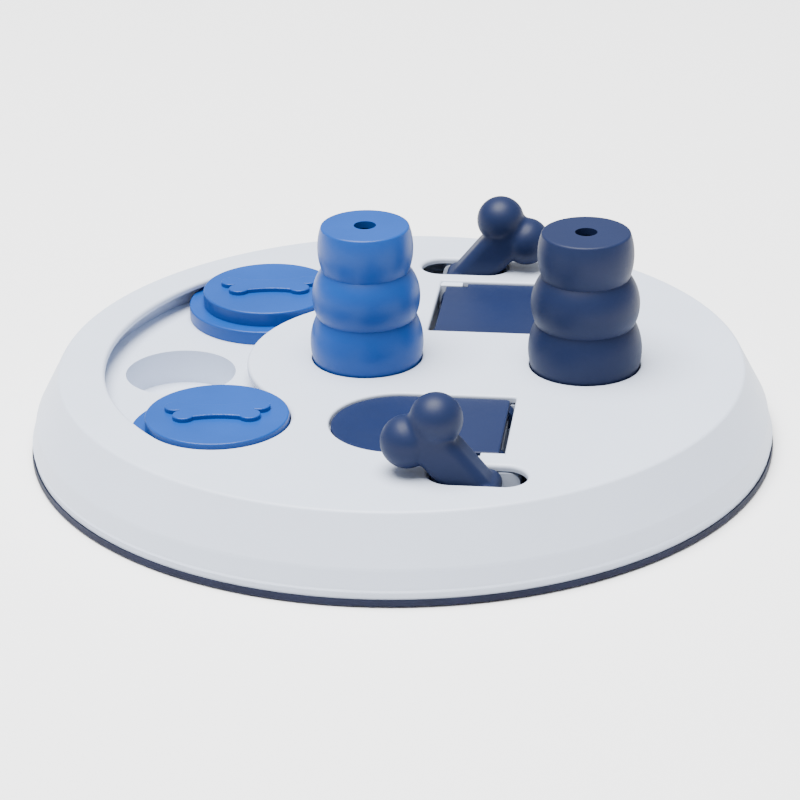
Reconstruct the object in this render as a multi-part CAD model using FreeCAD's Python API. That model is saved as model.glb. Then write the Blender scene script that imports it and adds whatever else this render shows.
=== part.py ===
# Dog puzzle feeder board: a round two-part white board with sliders, cones and lever flaps
# Millimetres; the board's centre is the origin, its underside is at height 0, the front is -Y
import FreeCAD, Part
import math
import os

V = FreeCAD.Vector

# Board outline
board_radius = 115.0
plate_radius = 105.6
band_inset = 1.9
band_height = 10.8
board_height = 25.3
rim_inset = 0.8
lip_inset = 0.4
lip_height = 1.0
plate_thickness = 2.0
side_wall = 2.2
plate_edge_round = 1.3
band_round = 3.0

# Anti-slip ring under the rim
ring_height = 2.2
ring_width = 11.0
ring_taper = 0.25
ring_edge_round = 0.6

# Base tray
tray_thickness = 1.8
tray_wall = 1.8
tray_head_gap = 0.4
collar_height = 4.0
collar_gap = 0.75

# Sliders and their curved track
track_radius = 69.95
track_centre_y = 2.4
slider_spread = 45.0
disc_radius = 21.5
disc_side = 4.7
disc_rise = 1.2
disc_gap = 0.45
disc_edge_round = 0.6
flange_radius = 26.1
flange_thickness = 4.4
flange_gap = 0.5
flange_edge_round = 0.5
floor_gap = 0.1
slot_edge_round = 1.2
well_radius = 17.2
well_depth = 11.0

# Raised bone on each slider
bone_height = 1.4
bone_turn = 7.2
bone_half_length = 15.8
bone_lower_half_length = 13.1
bone_half_width = 6.4
bone_knob_radius = 3.3
bone_waist = 3.7
bone_shoulder = 0.8
bone_edge_round = 0.4

# Cones
cone_height = 45.6
cone_top_radius = 13.45
cone_upper_bulge = 14.7
cone_upper_seam = 13.5
cone_middle_bulge = 16.6
cone_lower_seam = 15.2
cone_lower_bulge = 17.4
cone_foot_radius = 16.75
cone_upper_seam_drop = 14.1
cone_lower_seam_drop = 29.2
cone_wall = 2.2
cone_hole_radius = 3.4
cone_edge_round = 0.8
light_cone_x = -10.9
light_cone_y = 2.4
dark_cone_x = 56.5
dark_cone_y = 2.4
seat_gap = 0.4
seat_depth = 2.4
seat_edge_round = 0.4
cone_foot_gap = 0.05
cone_well_radius = 13.8
cone_well_depth = 13.5

# Flap openings and lids
pair_centre_x = 21.6
flap_straight_x = 37.8
flap_length = 53.9
flap_width = 41.7
flap_middle_y = 45.25
flap_corner_radius = 1.0
flap_edge_round = 0.8
lid_thickness = 2.0
lid_sink = 0.7
lid_gap = 0.5
lid_side_gap = 0.3
lid_end_gap = 1.8
lid_corner_radius = 1.5
lid_edge_round = 0.5
lid_rest_gap = 0.1
pocket_inset = 0.7
pocket_end_room = 1.4

# Hinges of the flaps
hinge_inset = 3.8
hinge_drop = 4.8
shaft_radius = 2.0
shaft_flat_depth = 0.6
shaft_fit = 0.05
bearing_fit = 0.09
knuckle_radius = 3.4
knuckle_width = 5.0
knuckle_side_gap = 0.6
inner_rib_thickness = 1.6
inner_rib_gap = 0.3
rib_half_length = 4.6
rib_drop = 1.5
cheek_length = 7.0
cheek_width = 2.9
cheek_gap = 0.4
cheek_swing_gap = 1.7
lid_swing_gap = 0.4

# Lever slots, posts and bone levers
lever_middle_y = 79.0
slot_width = 13.8
slot_length = 28.6
slot_left_x = 17.1
lever_slot_round = 1.2
lever_gap = 0.65
ball_radius = 7.8
ball_spacing = 11.06
lever_lean = 49.0
lever_reach = 18.6
lever_rise = 18.0
shank_head_width = 12.8
shank_foot_width = 11.4
shank_length = 26.0
shank_corner_radius = 3.2
hub_radius = 4.0
post_thickness = 3.6
post_side_gap = 0.5
post_left_length = 6.0
post_right_length = 9.0
outer_post_right_length = 5.5
post_corner_radius = 3.0
post_head_gap = 0.6

# Screws from below
boss_angles = (0.0, 50.0, 110.0, -110.0, -50.0)
boss_plate_inset = 6.6
boss_collar_gap = 4.8
boss_track_gap = 0.55
boss_radius = 3.6
screw_radius = 1.5
screw_gap = 0.1
screw_length = 12.0
head_radius = 2.8
head_height = 2.0
head_gap = 0.4
head_floor = 1.6
head_lift = 0.6
cross_width = 0.9
cross_length = 3.4
cross_depth = 1.0

# How far a piece reaches into the one that it is moulded to, and a cut past what it cuts
joining = 0.5
past = 1.0

# Heights and places that follow from the sizes above
plate_under = board_height - plate_thickness
tray_bottom = ring_height
tray_top = tray_bottom + tray_thickness
disc_top = board_height + disc_rise
flange_top = disc_top - disc_side
flange_bottom = flange_top - flange_thickness
track_floor = flange_bottom - floor_gap
seat_height = board_height - seat_depth
seat_radius = cone_foot_radius + seat_gap
flap_left_x = flap_straight_x - flap_length
lid_top = board_height - lid_sink
lid_bottom = lid_top - lid_thickness
hinge_x = flap_straight_x - hinge_inset
hinge_z = board_height - hinge_drop
pocket_top = lid_bottom - lid_rest_gap
pocket_middle_y = -flap_middle_y
pocket_half = flap_width / 2 - lid_gap - pocket_inset
rib_bottom = hinge_z - shaft_radius - rib_drop
cheek_limit_y = cheek_width + cheek_gap - flap_middle_y - flap_width / 2
slot_middle_x = slot_left_x + slot_length / 2
lever_half = slot_width / 2 - lever_gap
post_inner_y = lever_middle_y - lever_half - post_side_gap
post_outer_y = lever_middle_y + lever_half + post_side_gap
post_top = plate_under - post_head_gap
sleeve_radius = head_radius + head_gap + tray_wall
sleeve_top = tray_bottom + head_lift + head_height + head_floor
rim_radius = board_radius - rim_inset
band_radius = board_radius - band_inset
wall_foot_radius = rim_radius - side_wall
wall_lean = (rim_radius - band_radius) / (band_height - tray_top)
wall_radius_at_collar_top = wall_foot_radius - collar_height * wall_lean
collar_outer = min(wall_foot_radius, wall_radius_at_collar_top) - collar_gap
basin_half_width = flange_radius + flange_gap
boss_ring_radius = min(
    plate_radius - boss_plate_inset,
    collar_outer - tray_wall - sleeve_radius - boss_collar_gap,
)


def block(x0, x1, y0, y1, z0, z1):
    """A plain box between two corners."""
    return Part.makeBox(x1 - x0, y1 - y0, z1 - z0, V(x0, y0, z0))


def drum(radius, z0, z1, x=0.0, y=0.0):
    """An upright round bar."""
    return Part.makeCylinder(radius, z1 - z0, V(x, y, z0))


def cross_bar(radius, x, z, y0, y1):
    """A round bar lying along Y."""
    return Part.makeCylinder(radius, y1 - y0, V(x, y0, z), V(0, 1, 0))


def merged(shapes):
    """One solid out of several that touch."""
    whole = shapes[0].fuse(shapes[1:])
    return whole.removeSplitter()


def polar(radius, degrees):
    angle = math.radians(degrees)
    return radius * math.cos(angle), radius * math.sin(angle)


def on_track(degrees):
    """A place on the middle line of the curved track."""
    x, y = polar(track_radius, degrees)
    return x, y + track_centre_y


def raised(face, z0, z1):
    """A flat outline drawn at height 0, made solid between two heights."""
    solid = face.extrude(V(0, 0, z1 - z0))
    solid.translate(V(0, 0, z0))
    return solid


def track_shape(half_width, z0, z1):
    """The curved track: a disc's way along the arc between the two end places."""
    start = 180.0 - slider_spread
    inner = track_radius - half_width
    outer = track_radius + half_width
    sweep = 2 * slider_spread
    centre = V(0, track_centre_y, z0)
    big = Part.makeCylinder(outer, z1 - z0, centre, V(0, 0, 1), sweep)
    small = Part.makeCylinder(inner, z1 - z0, centre, V(0, 0, 1))
    sector = big.cut(small)
    sector.rotate(centre, V(0, 0, 1), start)
    ends = []
    for degrees in (start, start + sweep):
        x, y = on_track(degrees)
        ends.append(drum(half_width, z0, z1, x, y))
    return merged([sector] + ends)


def flap_outline(inset, end_inset, corner):
    """The front flap's outline: a half circle at the left, two small corners at the right."""
    half = flap_width / 2 - inset
    middle = -flap_middle_y
    arc_x = flap_left_x + flap_width / 2
    right = flap_straight_x - end_inset
    low = middle - half
    high = middle + half
    nick = corner * (1 - math.sqrt(0.5))
    pieces = []
    pieces.append(Part.makeLine(V(arc_x, low, 0), V(right - corner, low, 0)))
    mid_low = V(right - nick, low + nick, 0)
    pieces.append(Part.Arc(V(right - corner, low, 0), mid_low, V(right, low + corner, 0)).toShape())
    pieces.append(Part.makeLine(V(right, low + corner, 0), V(right, high - corner, 0)))
    mid_high = V(right - nick, high - nick, 0)
    pieces.append(Part.Arc(V(right, high - corner, 0), mid_high, V(right - corner, high, 0)).toShape())
    pieces.append(Part.makeLine(V(right - corner, high, 0), V(arc_x, high, 0)))
    pieces.append(Part.Arc(V(arc_x, high, 0), V(arc_x - half, middle, 0), V(arc_x, low, 0)).toShape())
    return Part.Face(Part.Wire(pieces))


def flap_solid(inset, end_inset, corner, z0, z1):
    return raised(flap_outline(inset, end_inset, corner), z0, z1)


def lever_slot_solid(z0, z1):
    """The rounded slot that the front lever swings in."""
    radius = slot_width / 2
    left = slot_left_x + radius
    right = slot_left_x + slot_length - radius
    bar = block(left, right, -lever_middle_y - radius, -lever_middle_y + radius, z0, z1)
    ends = [drum(radius, z0, z1, x, -lever_middle_y) for x in (left, right)]
    return merged([bar] + ends)


def opposite(shape):
    """The same shape at the back: a half turn about the middle of the flap pair."""
    copy = shape.copy()
    copy.rotate(V(pair_centre_x, 0, 0), V(0, 0, 1), 180)
    return copy


def boss_places():
    """Screw places: a ring near the rim, one between the cones and one beside the track."""
    places = [polar(boss_ring_radius, degrees) for degrees in boss_angles]
    places.append(((light_cone_x + dark_cone_x) / 2, 0.0))
    track_inside = track_radius - basin_half_width - tray_wall
    places.append((sleeve_radius + boss_track_gap - track_inside, 0.0))
    return places


def edges_at(shape, height, tools):
    """Edges of a shape that lie at one height and on the side of one of the tools."""
    found = []
    for edge in shape.Edges:
        box = edge.BoundBox
        if abs(box.ZMin - height) > 1e-6 or abs(box.ZMax - height) > 1e-6:
            continue
        first = edge.FirstParameter
        middle = edge.valueAt((first + edge.LastParameter) / 2)
        for tool in tools:
            if tool.isInside(middle, 1e-3, True) and not tool.isInside(middle, 1e-4, False):
                found.append(edge)
                break
    return found


def circles_at(shape, radius, height):
    """Level circles of one radius about the board's axis, at one height."""
    found = []
    for edge in shape.Edges:
        box = edge.BoundBox
        level = abs(box.ZMax - height) < 1e-6 and abs(box.ZMin - height) < 1e-6
        if level and abs(box.XMax - radius) < 1e-3:
            found.append(edge)
    return found


def shell_body():
    """The dished white cover: a turned outline of side wall, slope and flat plate."""
    lip_radius = board_radius - lip_inset
    lip_top = tray_top + lip_height
    outline = []
    outline.append(V(wall_foot_radius, 0, tray_top))
    outline.append(V(rim_radius, 0, tray_top))
    outline.append(V(lip_radius, 0, tray_top + lip_height / 2))
    outline.append(V(rim_radius, 0, lip_top))
    outline.append(V(band_radius, 0, band_height))
    outline.append(V(plate_radius, 0, board_height))
    outline.append(V(0, 0, board_height))
    outline.append(V(0, 0, plate_under))
    slope = math.atan2(board_height - band_height, band_radius - plate_radius)
    under_shift = side_wall / math.sin(slope)
    under_radius = plate_radius - under_shift + plate_thickness / math.tan(slope)
    outline.append(V(under_radius, 0, plate_under))
    outline.append(V(band_radius - side_wall, 0, band_height))
    outline.append(outline[0])
    body = Part.Face(Part.makePolygon(outline)).revolve(V(0, 0, 0), V(0, 0, 1), 360)
    body = body.makeFillet(plate_edge_round, circles_at(body, plate_radius, board_height))
    return body.makeFillet(band_round, circles_at(body, band_radius, band_height))


def cone_places():
    return ((light_cone_x, light_cone_y), (dark_cone_x, dark_cone_y))


def cone_cup(x, y):
    """The cup that hangs under the plate where a cone stands."""
    seat_top = board_height - plate_thickness / 2
    seat = drum(seat_radius + side_wall, seat_height - plate_thickness, seat_top, x, y)
    well_floor = seat_height - cone_well_depth
    cup = drum(cone_well_radius + side_wall, well_floor - plate_thickness, seat_height, x, y)
    return merged([seat, cup])


def cone_hollow(x, y):
    """The seat and the treat well cut out of the cup."""
    well_floor = seat_height - cone_well_depth
    seat = drum(seat_radius, seat_height, board_height + past, x, y)
    well = drum(cone_well_radius, well_floor, board_height, x, y)
    return merged([seat, well])


def shaft_notch(y0, y1, clearance, below):
    """Room for the front hinge shaft, open downwards."""
    radius = shaft_radius + clearance
    bore = cross_bar(radius, hinge_x, hinge_z, y0, y1)
    mouth = block(hinge_x - radius, hinge_x + radius, y0, y1, below, hinge_z)
    return merged([bore, mouth])


def shaft_saddle(y0, y1, clearance, above):
    """Room for the front hinge shaft, open upwards."""
    radius = shaft_radius + clearance
    bore = cross_bar(radius, hinge_x, hinge_z, y0, y1)
    mouth = block(hinge_x - radius, hinge_x + radius, y0, y1, hinge_z, above)
    return merged([bore, mouth])


def upper_bearings():
    """Cover ribs that hold the front hinge shaft down, and the cheek beside the lid."""
    inner_y = -flap_middle_y + pocket_half + tray_wall + inner_rib_gap
    outer_y = inner_y + inner_rib_thickness
    left = hinge_x - rib_half_length
    rib = block(left, hinge_x + rib_half_length, inner_y, outer_y, rib_bottom, plate_under + joining)
    edge_y = -flap_middle_y - flap_width / 2
    cheek_end = edge_y + cheek_width
    left = flap_straight_x - cheek_length
    right = flap_straight_x + joining
    cheek = block(left, right, edge_y - joining, cheek_end, rib_bottom, lid_top)
    notch_rib = shaft_notch(inner_y - past, outer_y + past, bearing_fit, rib_bottom - past)
    notch_cheek = shaft_notch(edge_y - past, cheek_end + past, bearing_fit, rib_bottom - past)
    return rib.cut(notch_rib), cheek.cut(notch_cheek)


def make_top_shell():
    body = shell_body()
    low = plate_under - past
    high = board_height + past
    slot = track_shape(disc_radius + disc_gap, low, high)
    flap = flap_solid(0.0, 0.0, flap_corner_radius, low, high)
    lever = lever_slot_solid(low, high)
    flaps = [flap, opposite(flap)]
    levers = [lever, opposite(lever)]
    cups = [cone_cup(x, y) for x, y in cone_places()]
    hollows = [cone_hollow(x, y) for x, y in cone_places()]
    body = body.cut([slot] + flaps + levers)
    body = body.fuse(cups)
    body = body.cut(hollows).removeSplitter()
    body = body.makeFillet(slot_edge_round, edges_at(body, board_height, [slot]))
    body = body.makeFillet(lever_slot_round, edges_at(body, board_height, levers))
    body = body.makeFillet(flap_edge_round, edges_at(body, board_height, flaps))
    body = body.makeFillet(seat_edge_round, edges_at(body, board_height, hollows))
    extras = []
    rib, cheek = upper_bearings()
    for piece in (rib, cheek):
        extras.append(piece)
        extras.append(opposite(piece))
    for x, y in boss_places():
        extras.append(drum(boss_radius, sleeve_top + screw_gap, plate_under + joining, x, y))
    body = body.fuse(extras)
    holes = []
    for x, y in boss_places():
        top = sleeve_top + screw_gap + screw_length
        holes.append(drum(screw_radius + screw_gap, sleeve_top - past, top, x, y))
    return body.cut(holes).removeSplitter()


def lid_pocket(z0, z1, grow):
    """The treat pocket under the front lid, with room for the lid's end to swing down."""
    inset = lid_gap + pocket_inset - grow
    end = -pocket_end_room - grow
    return flap_solid(inset, end, lid_corner_radius, z0, z1)


def shaft_posts():
    """Two posts beside the lever slot that carry the front hinge shaft from below."""
    posts = []
    sides = ((post_inner_y, -1.0, post_right_length), (post_outer_y, 1.0, outer_post_right_length))
    for start, way, right in sides:
        other = start + way * post_thickness
        y0 = -max(start, other)
        y1 = -min(start, other)
        post = block(hinge_x - post_left_length, hinge_x + right, y0, y1, tray_bottom, post_top)
        corners = []
        for edge in post.Edges:
            box = edge.BoundBox
            if abs(box.ZMin - post_top) < 1e-6 and box.YMax - box.YMin > post_thickness / 2:
                corners.append(edge)
        post = post.makeFillet(post_corner_radius, corners)
        posts.append(post.cut(shaft_saddle(y0 - past, y1 + past, bearing_fit, post_top + past)))
    return posts


def make_base_tray():
    head = plate_under - tray_head_gap
    base = drum(rim_radius, tray_bottom, tray_top)
    collar_top = tray_top + collar_height
    collar = drum(collar_outer, tray_bottom, collar_top)
    collar = collar.cut(drum(collar_outer - tray_wall, tray_bottom - past, collar_top + past))
    basin = track_shape(basin_half_width + tray_wall, tray_bottom, head)
    solids = [base, collar, basin]
    pocket = lid_pocket(tray_bottom, pocket_top, tray_wall)
    solids.append(pocket)
    solids.append(opposite(pocket))
    posts = shaft_posts()
    for post in posts:
        solids.append(post)
        solids.append(opposite(post))
    for x, y in boss_places():
        solids.append(drum(sleeve_radius, tray_bottom, sleeve_top, x, y))
    body = solids[0].fuse(solids[1:])
    cuts = [track_shape(basin_half_width, track_floor, head + past)]
    room = lid_pocket(tray_top, pocket_top + past, 0.0)
    cuts.append(room)
    cuts.append(opposite(room))
    hollow_top = track_floor - tray_thickness
    under = track_shape(basin_half_width, tray_bottom - past, hollow_top)
    wells = []
    for degrees in (180.0 - slider_spread, 180.0, 180.0 + slider_spread):
        x, y = on_track(degrees)
        floor = track_floor - well_depth
        under = under.cut(drum(well_radius + tray_wall, floor - tray_thickness, hollow_top + past, x, y))
        wells.append(drum(well_radius, floor, track_floor + past, x, y))
    cuts.append(under)
    cuts += wells
    wall_y = -flap_middle_y + pocket_half
    saddle = shaft_saddle(wall_y - past, wall_y + tray_wall + past, bearing_fit, pocket_top + past)
    slots = [saddle, cheek_room(), lid_swing_room()]
    for slot in slots:
        cuts.append(slot)
        cuts.append(opposite(slot))
    for x, y in boss_places():
        cuts.append(drum(screw_radius + screw_gap, tray_bottom - past, sleeve_top + past, x, y))
        cuts.append(drum(head_radius + head_gap, tray_bottom - past, sleeve_top - head_floor, x, y))
    return body.cut(cuts).removeSplitter()


def lid_swing_room():
    """The round space that the front lid's straight edge sweeps about its hinge."""
    reach = math.hypot(flap_straight_x - lid_end_gap - hinge_x, lid_top - hinge_z)
    low = -flap_middle_y - flap_width / 2
    high = -flap_middle_y + flap_width / 2 - lid_gap + lid_side_gap
    return cross_bar(reach + lid_swing_gap, hinge_x, hinge_z, low, high)


def cheek_room():
    """The gap in the front pocket's wall where the cover's cheek and the shaft pass."""
    wall_y = -flap_middle_y - pocket_half - tray_wall
    left = flap_straight_x - cheek_length - cheek_swing_gap
    right = flap_straight_x + joining + cheek_gap
    low = rib_bottom - cheek_gap
    return block(left, right, wall_y - past, cheek_limit_y, low, pocket_top + past)


def make_anti_slip_ring():
    outline = []
    inner = board_radius - ring_width
    outline.append(V(inner, 0, 0))
    outline.append(V(board_radius, 0, 0))
    outline.append(V(board_radius - ring_taper, 0, ring_height))
    outline.append(V(inner, 0, ring_height))
    outline.append(outline[0])
    ring = Part.Face(Part.makePolygon(outline)).revolve(V(0, 0, 0), V(0, 0, 1), 360)
    edges = [e for e in ring.Edges if abs(e.BoundBox.ZMax) < 1e-6 and e.BoundBox.ZMin > -1e-6]
    return ring.makeFillet(ring_edge_round, edges)


def bone_outline():
    """The flat outline of the raised bone: two knobs at each end and curved long sides."""
    knob = bone_knob_radius
    upper_x = bone_half_length - knob
    lower_x = bone_lower_half_length - knob
    upper_y = bone_half_width - knob
    shoulder = upper_y + knob * bone_shoulder
    top = Part.Arc(V(-upper_x, shoulder, 0), V(0, bone_waist, 0), V(upper_x, shoulder, 0)).toShape()
    bottom = Part.Arc(V(lower_x, -shoulder, 0), V(0, -bone_waist, 0), V(-lower_x, -shoulder, 0)).toShape()
    right = Part.makeLine(V(upper_x, shoulder, 0), V(lower_x, -shoulder, 0))
    left = Part.makeLine(V(-lower_x, -shoulder, 0), V(-upper_x, shoulder, 0))
    middle = Part.Face(Part.Wire([top, right, bottom, left]))
    knobs = []
    for side in (-1, 1):
        for x, y in ((side * upper_x, upper_y), (side * lower_x, -upper_y)):
            circle = Part.Wire(Part.makeCircle(knob, V(x, y, 0)))
            knobs.append(Part.Face(circle))
    return middle, knobs


def raised_bone(z0):
    middle, knobs = bone_outline()
    solids = [raised(middle, z0 - joining, z0 + bone_height)]
    for knob in knobs:
        solids.append(raised(knob, z0 - joining, z0 + bone_height))
    bone = merged(solids)
    top = z0 + bone_height
    edges = [e for e in bone.Edges if abs(e.BoundBox.ZMin - top) < 1e-6]
    return bone.makeFillet(bone_edge_round, edges)


def make_slider(degrees):
    disc = drum(disc_radius, flange_bottom, disc_top)
    flange = drum(flange_radius, flange_bottom, flange_top)
    body = merged([disc, flange])
    tops = [e for e in body.Edges if abs(e.BoundBox.ZMin - disc_top) < 1e-6]
    body = body.makeFillet(disc_edge_round, tops)
    rims = []
    for edge in body.Edges:
        box = edge.BoundBox
        if abs(box.ZMin - flange_top) < 1e-6 and box.XMax > flange_radius - 0.1:
            rims.append(edge)
    body = body.makeFillet(flange_edge_round, rims)
    bone = raised_bone(disc_top)
    bone.rotate(V(0, 0, 0), V(0, 0, 1), bone_turn)
    body = merged([body, bone])
    x, y = on_track(degrees)
    body.translate(V(x, y, 0))
    return body


def cone_profile_points():
    """Radius and height of the cone's tiers, from the foot to the top."""
    foot = seat_height + cone_foot_gap
    top = foot + cone_height
    upper_seam = top - cone_upper_seam_drop
    lower_seam = top - cone_lower_seam_drop
    return foot, lower_seam, upper_seam, top


def cone_half(foot, lower_seam, upper_seam, roof, inset):
    """A turned outline of the three tiers, straight in the seat, inset from the outside by a wall."""
    foot_edge = V(cone_foot_radius - inset, 0, foot)
    seat_rim = V(cone_foot_radius - inset, 0, board_height)
    arcs = []
    arcs.append(Part.makeLine(V(0, 0, foot), foot_edge))
    arcs.append(Part.makeLine(foot_edge, seat_rim))
    ring_radii = (cone_foot_radius, cone_lower_seam, cone_upper_seam, cone_top_radius)
    bulges = (cone_lower_bulge, cone_middle_bulge, cone_upper_bulge)
    heights = (board_height, lower_seam, upper_seam, roof)
    for tier in range(3):
        low_ring = V(ring_radii[tier] - inset, 0, heights[tier])
        high_ring = V(ring_radii[tier + 1] - inset, 0, heights[tier + 1])
        middle = V(bulges[tier] - inset, 0, (heights[tier] + heights[tier + 1]) / 2)
        arcs.append(Part.Arc(low_ring, middle, high_ring).toShape())
    arcs.append(Part.makeLine(V(cone_top_radius - inset, 0, roof), V(0, 0, roof)))
    arcs.append(Part.makeLine(V(0, 0, roof), V(0, 0, foot)))
    return Part.Face(Part.Wire(arcs)).revolve(V(0, 0, 0), V(0, 0, 1), 360)


def make_cone(x, y):
    foot, lower_seam, upper_seam, top = cone_profile_points()
    outer = cone_half(foot, lower_seam, upper_seam, top, 0.0)
    rims = [e for e in outer.Edges if abs(e.BoundBox.ZMin - top) < 1e-6]
    outer = outer.makeFillet(cone_edge_round, rims)
    roof = top - cone_wall
    inner = cone_half(foot, lower_seam, upper_seam, roof, cone_wall)
    mouth = drum(cone_foot_radius - cone_wall, foot - past, foot)
    hole = drum(cone_hole_radius, roof - past, top + past)
    body = outer.cut([inner, mouth, hole])
    body.translate(V(x, y, 0))
    return body


def shaft_span():
    """Where the front hinge shaft ends, at the middle of the board and at the rim."""
    inner = -flap_middle_y + pocket_half + tray_wall + inner_rib_gap + inner_rib_thickness
    outer = -(post_outer_y + post_thickness)
    return outer, inner


def flat_zones():
    """Stretches of the front shaft that carry a flat: in the lever and in the lid."""
    lever = (-lever_middle_y - lever_half, -lever_middle_y + lever_half)
    half = pocket_half - knuckle_side_gap
    near = (-flap_middle_y + half - knuckle_width, -flap_middle_y + half)
    far_end = cheek_limit_y + knuckle_side_gap
    far = (far_end, far_end + knuckle_width)
    return lever, far, near


def make_hinge_shaft():
    outer, inner = shaft_span()
    shaft = cross_bar(shaft_radius, hinge_x, hinge_z, outer, inner)
    cuts = []
    for y0, y1 in flat_zones():
        low = hinge_z - shaft_radius - past
        high = hinge_z - shaft_radius + shaft_flat_depth
        cuts.append(block(hinge_x - shaft_radius - past, hinge_x + shaft_radius + past, y0, y1, low, high))
    return shaft.cut(cuts)


def keyed_bore(y0, y1):
    """A bore with one flat that fits round the shaft."""
    bore = cross_bar(shaft_radius + shaft_fit, hinge_x, hinge_z, y0, y1)
    low = hinge_z - shaft_radius - past
    high = hinge_z - shaft_radius + shaft_flat_depth - shaft_fit
    return bore.cut(block(hinge_x - shaft_radius - past, hinge_x + shaft_radius + past, y0, y1, low, high))


def make_lid():
    lid = flap_solid(lid_gap, lid_end_gap, lid_corner_radius, lid_bottom, lid_top)
    left = flap_straight_x - cheek_length - cheek_swing_gap
    right = flap_straight_x + past
    edge_y = -flap_middle_y - flap_width / 2 - past
    lid = lid.cut(block(left, right, edge_y, cheek_limit_y, lid_bottom - past, lid_top + past))
    tops = [e for e in lid.Edges if abs(e.BoundBox.ZMin - lid_top) < 1e-6]
    lid = lid.makeFillet(lid_edge_round, tops)
    lever, far, near = flat_zones()
    knuckles = []
    for y0, y1 in (far, near):
        knuckle = cross_bar(knuckle_radius, hinge_x, hinge_z, y0, y1)
        web = block(hinge_x - knuckle_radius, hinge_x, y0, y1, hinge_z, lid_bottom + joining)
        knuckles.append(merged([knuckle, web]))
    lid = merged([lid] + knuckles)
    bores = [keyed_bore(y0, y1) for y0, y1 in (far, near)]
    return lid.cut(bores)


def lever_ways():
    """The front lever's directions in its leaning plane: down the shank and across it."""
    lean = math.radians(lever_lean)
    down = V(math.cos(lean), 0, -math.sin(lean))
    across = V(math.sin(lean), 0, math.cos(lean))
    return down, across


def lever_shank(head):
    """The flat-sided shank, narrower at its foot, with rounded long edges."""
    down, across = lever_ways()
    side = V(0, lever_half, 0)
    foot = head + down * shank_length
    top_half = across * (shank_head_width / 2)
    foot_half = across * (shank_foot_width / 2)
    corners = [head - top_half, head + top_half, foot + foot_half, foot - foot_half]
    corners = [corner - side for corner in corners]
    bar = Part.Face(Part.makePolygon(corners + corners[:1])).extrude(side * 2)
    long_edges = []
    for edge in bar.Edges:
        way = edge.lastVertex().Point - edge.firstVertex().Point
        if abs(way.dot(down)) > shank_length / 2:
            long_edges.append(edge)
    return bar.makeFillet(shank_corner_radius, long_edges)


def make_lever():
    down, across = lever_ways()
    head = V(hinge_x - lever_reach, -lever_middle_y, hinge_z + lever_rise)
    lever, far, near = flat_zones()
    solids = [lever_shank(head)]
    solids.append(cross_bar(hub_radius, hinge_x, hinge_z, lever[0], lever[1]))
    for side in (-1, 1):
        place = head + across * (side * ball_spacing / 2)
        solids.append(Part.makeSphere(ball_radius, place, down))
    return merged(solids).cut(keyed_bore(lever[0], lever[1]))


def make_base_screws():
    """All the identical screws as one group of separate solids."""
    screws = []
    seat = sleeve_top - head_floor
    for x, y in boss_places():
        head = drum(head_radius, seat - head_height, seat, x, y)
        stem = drum(screw_radius, seat - joining, seat + screw_length, x, y)
        screw = merged([head, stem])
        low = seat - head_height - past
        high = seat - head_height + cross_depth
        half = cross_length / 2
        thin = cross_width / 2
        first = block(x - half, x + half, y - thin, y + thin, low, high)
        second = block(x - thin, x + thin, y - half, y + half, low, high)
        screws.append(screw.cut([first, second]))
    return Part.makeCompound(screws)


def write(name, shape):
    solids = shape.Solids
    assert solids and all(s.isValid() and s.isClosed() for s in solids), name
    if name != "base_screws":
        assert len(solids) == 1, (name, len(solids))
        shape = solids[0]
    print(name, len(solids), round(sum(s.Volume for s in solids)), shape.BoundBox)
    shape.exportStep("parts/" + name + ".step")


def main():
    os.makedirs("parts", exist_ok=True)
    write("anti_slip_ring", make_anti_slip_ring())
    write("base_screws", make_base_screws())
    write("light_cone", make_cone(light_cone_x, light_cone_y))
    write("dark_cone", make_cone(dark_cone_x, dark_cone_y))
    write("front_slider", make_slider(180.0 + slider_spread))
    write("back_slider", make_slider(180.0 - slider_spread))
    shaft = make_hinge_shaft()
    lid = make_lid()
    lever = make_lever()
    write("front_hinge_shaft", shaft)
    write("back_hinge_shaft", opposite(shaft))
    write("front_lid", lid)
    write("back_lid", opposite(lid))
    write("front_lever", lever)
    write("back_lever", opposite(lever))
    write("base_tray", make_base_tray())
    write("top_shell", make_top_shell())


main()
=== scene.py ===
import bpy
import math
import numpy as np
from mathutils import Matrix, Vector


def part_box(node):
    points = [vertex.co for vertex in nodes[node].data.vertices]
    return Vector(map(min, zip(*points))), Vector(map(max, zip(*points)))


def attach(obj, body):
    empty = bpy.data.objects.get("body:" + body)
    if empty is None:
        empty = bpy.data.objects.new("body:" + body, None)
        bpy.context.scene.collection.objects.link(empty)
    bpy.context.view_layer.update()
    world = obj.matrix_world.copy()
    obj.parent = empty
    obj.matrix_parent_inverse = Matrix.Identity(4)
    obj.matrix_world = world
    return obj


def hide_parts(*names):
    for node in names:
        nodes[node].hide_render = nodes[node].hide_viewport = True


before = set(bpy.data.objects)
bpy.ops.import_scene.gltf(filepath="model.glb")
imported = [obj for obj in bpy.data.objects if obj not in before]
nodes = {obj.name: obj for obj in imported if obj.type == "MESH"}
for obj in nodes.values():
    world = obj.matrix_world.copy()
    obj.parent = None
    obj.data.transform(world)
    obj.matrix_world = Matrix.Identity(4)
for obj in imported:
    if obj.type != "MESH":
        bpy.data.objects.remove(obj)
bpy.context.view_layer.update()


def new_material(name):
    """A new material, with its node tree and its shader."""
    material = bpy.data.materials.new(name)
    material.use_nodes = True
    tree = material.node_tree
    return material, tree, tree.nodes["Principled BSDF"]


def own_coordinates(tree):
    return tree.nodes.new("ShaderNodeTexCoord").outputs["Object"]


def noise(tree, where, scale, detail):
    node = tree.nodes.new("ShaderNodeTexNoise")
    node.inputs["Scale"].default_value = scale
    node.inputs["Detail"].default_value = detail
    tree.links.new(where, node.inputs["Vector"])
    return node.outputs["Fac"]


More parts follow.
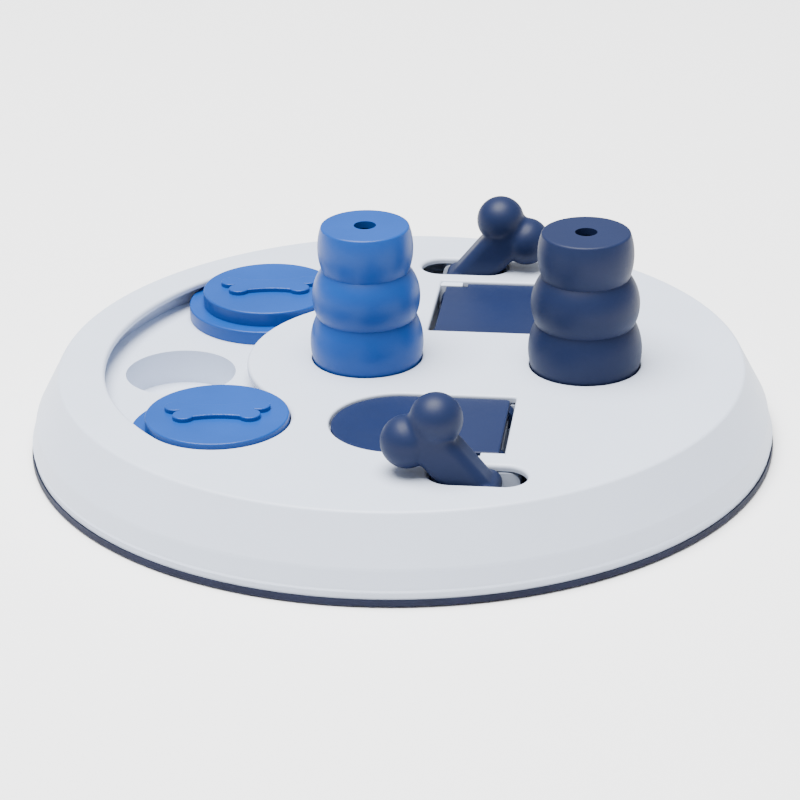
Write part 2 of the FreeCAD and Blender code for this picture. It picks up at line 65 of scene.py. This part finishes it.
def ramp(tree, fac, low, high, at_low=0.35, at_high=0.65):
    """Two colours blended over a stretch of a noise."""
    node = tree.nodes.new("ShaderNodeValToRGB")
    node.color_ramp.elements[0].position = at_low
    node.color_ramp.elements[1].position = at_high
    node.color_ramp.elements[0].color = (*low, 1.0)
    node.color_ramp.elements[1].color = (*high, 1.0)
    tree.links.new(fac, node.inputs["Fac"])
    return node.outputs["Color"]


def spread(tree, fac, low, high):
    """A noise stretched between two values."""
    node = tree.nodes.new("ShaderNodeMapRange")
    node.inputs["To Min"].default_value = low
    node.inputs["To Max"].default_value = high
    tree.links.new(fac, node.inputs["Value"])
    return node.outputs["Result"]


def bump(tree, height, strength, distance, under=None):
    """A bump from a noise, laid over another bump where one is given."""
    node = tree.nodes.new("ShaderNodeBump")
    node.inputs["Strength"].default_value = strength
    node.inputs["Distance"].default_value = distance
    tree.links.new(height, node.inputs["Height"])
    if under is not None:
        tree.links.new(under, node.inputs["Normal"])
    return node.outputs["Normal"]


def scaled(colour, factor):
    return tuple(c * factor for c in colour)


def plastic(name, colour, rough, specular, grain, mottle=0.06, shinier=0.05, duller=0.07):
    """Moulded plastic: a fine texture, slow waviness, faint mottling and scuffed gloss."""
    material, tree, shader = new_material(name)
    where = own_coordinates(tree)
    slow = noise(tree, where, scale=35.0, detail=3.0)
    mottled = ramp(tree, slow, scaled(colour, 1 - mottle), scaled(colour, 1 + mottle))
    tree.links.new(mottled, shader.inputs["Base Color"])
    scuff = noise(tree, where, scale=160.0, detail=6.0)
    gloss = spread(tree, scuff, rough - shinier, rough + duller)
    tree.links.new(gloss, shader.inputs["Roughness"])
    fine = noise(tree, where, scale=2600.0, detail=2.0)
    slow_waves = noise(tree, where, scale=60.0, detail=1.0)
    wavy = bump(tree, slow_waves, strength=0.05, distance=0.0006)
    textured = bump(tree, fine, strength=grain, distance=0.00012, under=wavy)
    tree.links.new(textured, shader.inputs["Normal"])
    shader.inputs["Specular IOR Level"].default_value = specular
    return material


def rubber(name, colour, dust_gain=1.5, dust_base=0.001):
    """Matte rubber with paler mottling and a fine grain."""
    material, tree, shader = new_material(name)
    where = own_coordinates(tree)
    dusty = tuple(c * dust_gain + dust_base for c in colour)
    mottle = noise(tree, where, scale=90.0, detail=5.0)
    mottled = ramp(tree, mottle, colour, dusty, at_low=0.4, at_high=0.75)
    tree.links.new(mottled, shader.inputs["Base Color"])
    shader.inputs["Roughness"].default_value = 0.62
    shader.inputs["Specular IOR Level"].default_value = 0.2
    fine = noise(tree, where, scale=1800.0, detail=4.0)
    tree.links.new(bump(tree, fine, strength=0.35, distance=0.0002), shader.inputs["Normal"])
    return material


def metal(name, colour, rough, darkest=0.85, duller=0.15):
    """Bare metal, with tone and gloss that change a little over it."""
    material, tree, shader = new_material(name)
    where = own_coordinates(tree)
    slow = noise(tree, where, scale=300.0, detail=4.0)
    tree.links.new(ramp(tree, slow, scaled(colour, darkest), colour), shader.inputs["Base Color"])
    shader.inputs["Metallic"].default_value = 1.0
    tree.links.new(spread(tree, slow, rough, rough + duller), shader.inputs["Roughness"])
    fine = noise(tree, where, scale=2200.0, detail=2.0)
    tree.links.new(bump(tree, fine, strength=0.2, distance=0.0001), shader.inputs["Normal"])
    return material


white = plastic(
    "white_plastic", colour=(0.56, 0.615, 0.73), rough=0.40, specular=0.40, grain=0.20, mottle=0.012
)
light_blue = plastic(
    "light_blue_plastic", colour=(0.004, 0.052, 0.25), rough=0.36, specular=0.26, grain=0.22
)
dark_blue = plastic(
    "dark_blue_plastic", colour=(0.0070, 0.0135, 0.048), rough=0.46, specular=0.20, grain=0.22
)
lid_blue = plastic(
    "lid_blue_plastic", colour=(0.0070, 0.014, 0.052), rough=0.40, specular=0.22, grain=0.22
)
navy = rubber("navy_rubber", colour=(0.006, 0.008, 0.024))
zinc = metal("zinc_steel", colour=(0.66, 0.66, 0.63), rough=0.28)
steel = metal("shaft_steel", colour=(0.6, 0.6, 0.62), rough=0.25)

finishes = {
    "top_shell": white,
    "base_tray": white,
    "anti_slip_ring": navy,
    "base_screws": zinc,
    "front_slider": light_blue,
    "back_slider": light_blue,
    "light_cone": light_blue,
    "dark_cone": dark_blue,
    "front_lid": lid_blue,
    "back_lid": lid_blue,
    "front_lever": dark_blue,
    "back_lever": dark_blue,
    "front_hinge_shaft": steel,
    "back_hinge_shaft": steel,
}
for name, material in finishes.items():
    mesh = nodes[name].data
    mesh.materials.clear()
    mesh.materials.append(material)

# The levers, with their balls and shank run into each other. Lengths are in metres.
ball_radius = 0.0078
ball_step = Vector((0.00835, 0.0, 0.00726))
lever_voxel = 0.00035
blend_reach = 0.0038
blend_rounds = 90
blend_step = 0.5
least_blend = 0.08


def ball_centres(low, high, side):
    """Centres of the upper and the lower ball; side is 1 for the front lever, -1 for the back one."""
    middle_y = (low.y + high.y) / 2
    outer_x = low.x + ball_radius if side > 0 else high.x - ball_radius
    step_x = ball_step.x * side
    upper = Vector((outer_x + step_x, middle_y, high.z - ball_radius))
    lower = Vector((outer_x, middle_y, high.z - ball_radius - ball_step.z))
    return upper, lower


def remeshed(source, name, voxel):
    """A copy of a node's mesh in even small faces."""
    copy = bpy.data.objects.new(name, source.data.copy())
    bpy.context.scene.collection.objects.link(copy)
    even = copy.modifiers.new("even_faces", "REMESH")
    even.mode = "VOXEL"
    even.voxel_size = voxel
    depsgraph = bpy.context.evaluated_depsgraph_get()
    mesh = bpy.data.meshes.new_from_object(copy.evaluated_get(depsgraph))
    copy.modifiers.clear()
    copy.data = mesh
    return copy


def blend_creases(mesh, centres):
    """Smooths the surface, most of all where the balls meet each other and the shank."""
    count = len(mesh.vertices)
    spots = np.empty(count * 3)
    mesh.vertices.foreach_get("co", spots)
    spots = spots.reshape(count, 3)
    ends = np.empty(len(mesh.edges) * 2, dtype=np.int64)
    mesh.edges.foreach_get("vertices", ends)
    first, second = ends.reshape(-1, 2).T
    neighbours = np.bincount(first, minlength=count) + np.bincount(second, minlength=count)
    gaps = np.array([np.linalg.norm(spots - np.array(c), axis=1) - ball_radius for c in centres])
    nearest, other = gaps.min(0), gaps.max(0)
    on_shank = nearest > lever_voxel
    from_crease = np.where(on_shank, nearest, other)
    weight = np.clip(1 - from_crease / blend_reach, least_blend, 1.0)
    for _ in range(blend_rounds):
        mean = np.empty_like(spots)
        for axis in range(3):
            column = spots[:, axis]
            total = np.bincount(first, column[second], count) + np.bincount(second, column[first], count)
            mean[:, axis] = total / neighbours
        spots += (mean - spots) * (blend_step * weight)[:, None]
    mesh.vertices.foreach_set("co", spots.ravel())
    mesh.polygons.foreach_set("use_smooth", np.ones(len(mesh.polygons), dtype=bool))
    mesh.update()


def moulded_lever(node, body, side):
    """Shows a smoothed copy of a CAD lever in its place."""
    low, high = (Vector(corner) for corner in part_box(node))
    piece = remeshed(nodes[node], "moulded_" + node, lever_voxel)
    blend_creases(piece.data, ball_centres(low, high, side))
    piece.data.materials.clear()
    piece.data.materials.append(dark_blue)
    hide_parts(node)
    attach(piece, body)


moulded_lever("front_lever", "front_flap", 1)
moulded_lever("back_lever", "back_flap", -1)

# The floor, a hair below the part
floor_half = 30.0
floor_drop = 0.0002
floor_tone = 0.95
floor_material, _, shader = new_material("pale_floor")
shader.inputs["Base Color"].default_value = (floor_tone, floor_tone, floor_tone, 1.0)
shader.inputs["Roughness"].default_value = 0.8
floor_mesh = bpy.data.meshes.new("floor")
corner_signs = ((-1, -1), (1, -1), (1, 1), (-1, 1))
corners = [(x * floor_half, y * floor_half, 0) for x, y in corner_signs]
floor_mesh.from_pydata(corners, [], [(0, 1, 2, 3)])
floor = bpy.data.objects.new("floor", floor_mesh)
bpy.context.scene.collection.objects.link(floor)
floor_mesh.materials.append(floor_material)
floor.location.z = -floor_drop

# The camera stands where the photograph was taken
turn = math.radians(7.2)
pitch = math.radians(24.31)
yaw = math.radians(-0.04)
roll = math.radians(-0.87)
distance_back = 0.88865
eye_height = 0.41315
focal_pixels = 3139.4
picture_pixels = 800
sensor_width = 36.0
spin = Matrix.Rotation(turn, 3, "Z")
eye = spin @ Vector((0.0, -distance_back, eye_height))
ahead = spin @ Vector((math.sin(yaw) * math.cos(pitch), math.cos(yaw) * math.cos(pitch), -math.sin(pitch)))
right = ahead.cross(Vector((0, 0, 1))).normalized()
up = right.cross(ahead)
right_rolled = right * math.cos(roll) + up * math.sin(roll)
up_rolled = up * math.cos(roll) - right * math.sin(roll)
lens = bpy.data.cameras.new("photo_camera")
lens.sensor_width = sensor_width
lens.sensor_fit = "HORIZONTAL"
lens.lens = focal_pixels * sensor_width / picture_pixels
lens.clip_start = 0.01
lens.clip_end = 100.0
camera = bpy.data.objects.new("photo_camera", lens)
bpy.context.scene.collection.objects.link(camera)
axes = Matrix((right_rolled, up_rolled, -ahead)).transposed()
camera.matrix_world = Matrix.Translation(eye) @ axes.to_4x4()
bpy.context.scene.camera = camera

# One large round light above, turned to the middle of the part's resting face
light_place = Vector((-0.2, -0.1, 1.7))
light_width = 1.5
light_power = 126.0
light = bpy.data.lights.new("key", "AREA")
light.shape = "DISK"
light.size = light_width
light.energy = light_power
lamp = bpy.data.objects.new("key", light)
bpy.context.scene.collection.objects.link(lamp)
lamp.location = light_place
lamp.rotation_euler = (-light_place).to_track_quat("-Z", "Y").to_euler()

# A pale sky, a little blue
world = bpy.data.worlds.new("studio")
bpy.context.scene.world = world
world.use_nodes = True
sky = world.node_tree.nodes["Background"]
sky.inputs["Color"].default_value = (0.96, 0.97, 1.0, 1.0)
sky.inputs["Strength"].default_value = 0.6
